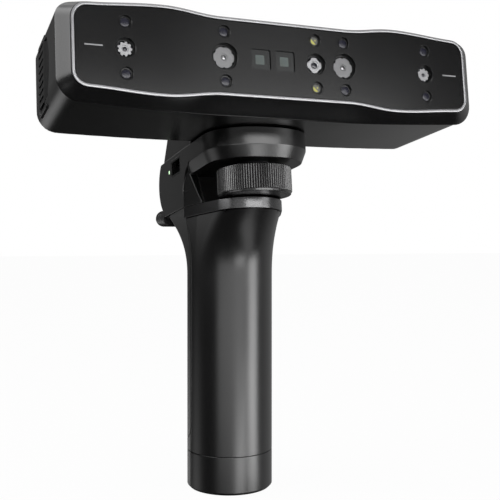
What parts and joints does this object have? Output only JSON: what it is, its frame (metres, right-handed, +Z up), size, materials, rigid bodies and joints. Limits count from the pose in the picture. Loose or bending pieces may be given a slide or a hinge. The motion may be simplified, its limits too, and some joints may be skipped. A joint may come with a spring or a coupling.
{
  "type": "handheld three-d scanner",
  "caption": "Handheld structured-light scanner: a wide camera head clamped by a knurled thumb wheel on top of a round battery handle with a thumb lever.",
  "frame": {"origin": "centre of the handle's flat base, at the mouth of its tripod thread", "axes": "+Z up along the round grip, -Y towards the scanned scene, +X to the right when looking along +Y from in front of the front panel"},
  "size_m": [0.1812, 0.1167, 0.2052],
  "materials": {
    "panel": "satin dark grey",
    "rim": "bright trim",
    "cover": "satin black",
    "housing": "satin black",
    "grille": "matte black",
    "frame": "machined, black coated",
    "barrel": "satin",
    "lens": "coated glass",
    "infrared": "dark blue epoxy",
    "board": "green circuit board",
    "flash": "yellow phosphor",
    "projector": "black",
    "window": "coated glass",
    "mark": "pale grey",
    "screw": "steel",
    "sink": "anodised",
    "fan": "black",
    "bush": "brass",
    "handle": "satin black",
    "pad": "matte",
    "band": "satin grey",
    "cell": "sleeved cell",
    "cradle": "black",
    "contact": "plated",
    "socket": "steel shell",
    "status": "pale green light pipe",
    "wheel": "satin black, knurled",
    "clamp_screw": "steel",
    "lever": "satin black",
    "bracket": "steel",
    "spring": "spring steel",
    "switch": "black"
  },
  "bodies": {
    "scanner": {"front_panel": "panel", "front_rim": "rim", "front_cover": "cover", "rear_housing": "housing", "vent_grille_left": "grille", "vent_grille_right": "grille", "optics_frame": "frame", "outer_camera_left": "barrel", "outer_camera_right": "barrel", "outer_lens_left": "lens", "outer_lens_right": "lens", "inner_camera_left": "barrel", "inner_camera_right": "barrel", "inner_lens_left": "lens", "inner_lens_right": "lens", "colour_camera": "barrel", "colour_lens": "lens", "infrared_lamps": "infrared", "lamp_boards": "board", "flash_lamps": "flash", "projector_left": "projector", "projector_right": "projector", "projector_windows": "window", "level_marks": "mark", "camera_boards": "board", "main_board": "board", "board_screws": "screw", "heat_sink": "sink", "fan_frame": "fan", "head_bush": "bush", "top_housing": "handle", "platform_pad": "pad", "rear_block": "handle", "radio_board": "board", "neck_band": "band", "grip_front": "handle", "grip_rear": "handle", "base_cap": "handle", "base_bush": "bush", "base_screws": "screw", "battery_cell": "cell", "battery_cradle": "cradle", "battery_contacts": "contact", "charge_board": "board", "usb_socket": "socket", "port_bezel": "grille", "status_light": "status", "wheel_sleeve": "clamp_screw", "thrust_washer": "clamp_screw", "sleeve_clip": "clamp_screw", "lever_pin": "screw", "lever_bracket": "bracket", "lever_spring": "spring", "lever_switch": "switch"},
    "thumb_lever": {"thumb_lever": "lever"},
    "clamp_wheel": {"clamp_wheel": "wheel", "wheel_cap": "wheel"},
    "clamp_screw": {"clamp_screw": "clamp_screw"},
    "fan_rotor": {"fan_rotor": "fan"}
  },
  "joints": [
    {"name": "clamp_wheel_turn", "type": "hinge", "parent": "scanner", "child": "clamp_wheel", "pos_m": [0, -0.0286, 0.1609], "axis": [0, 0.1184, 0.993], "range_deg": [-1500, 0]},
    {"name": "clamp_screw_drop", "type": "slide", "parent": "clamp_wheel", "child": "clamp_screw", "axis": [0, 0.1184, 0.993], "range_m": [-0.0053, 0]},
    {"name": "thumb_lever_press", "type": "hinge", "parent": "scanner", "child": "thumb_lever", "pos_m": [0, 0.02285, 0.127], "axis": [1, 0, 0], "range_deg": [-3.5, 0], "stiffness_Nm_per_rad": 0.2, "springref_deg": 8.59, "deforming": ["lever_spring"]},
    {"name": "fan_spin", "type": "hinge", "parent": "scanner", "child": "fan_rotor", "pos_m": [0, -0.03655, 0.1829], "axis": [1, 0, 0], "continuous": true}
  ],
  "couplings": [
    {"joint": "clamp_screw_drop", "follows": "clamp_wheel_turn", "m_per_rad": 0.00020213}
  ]
}
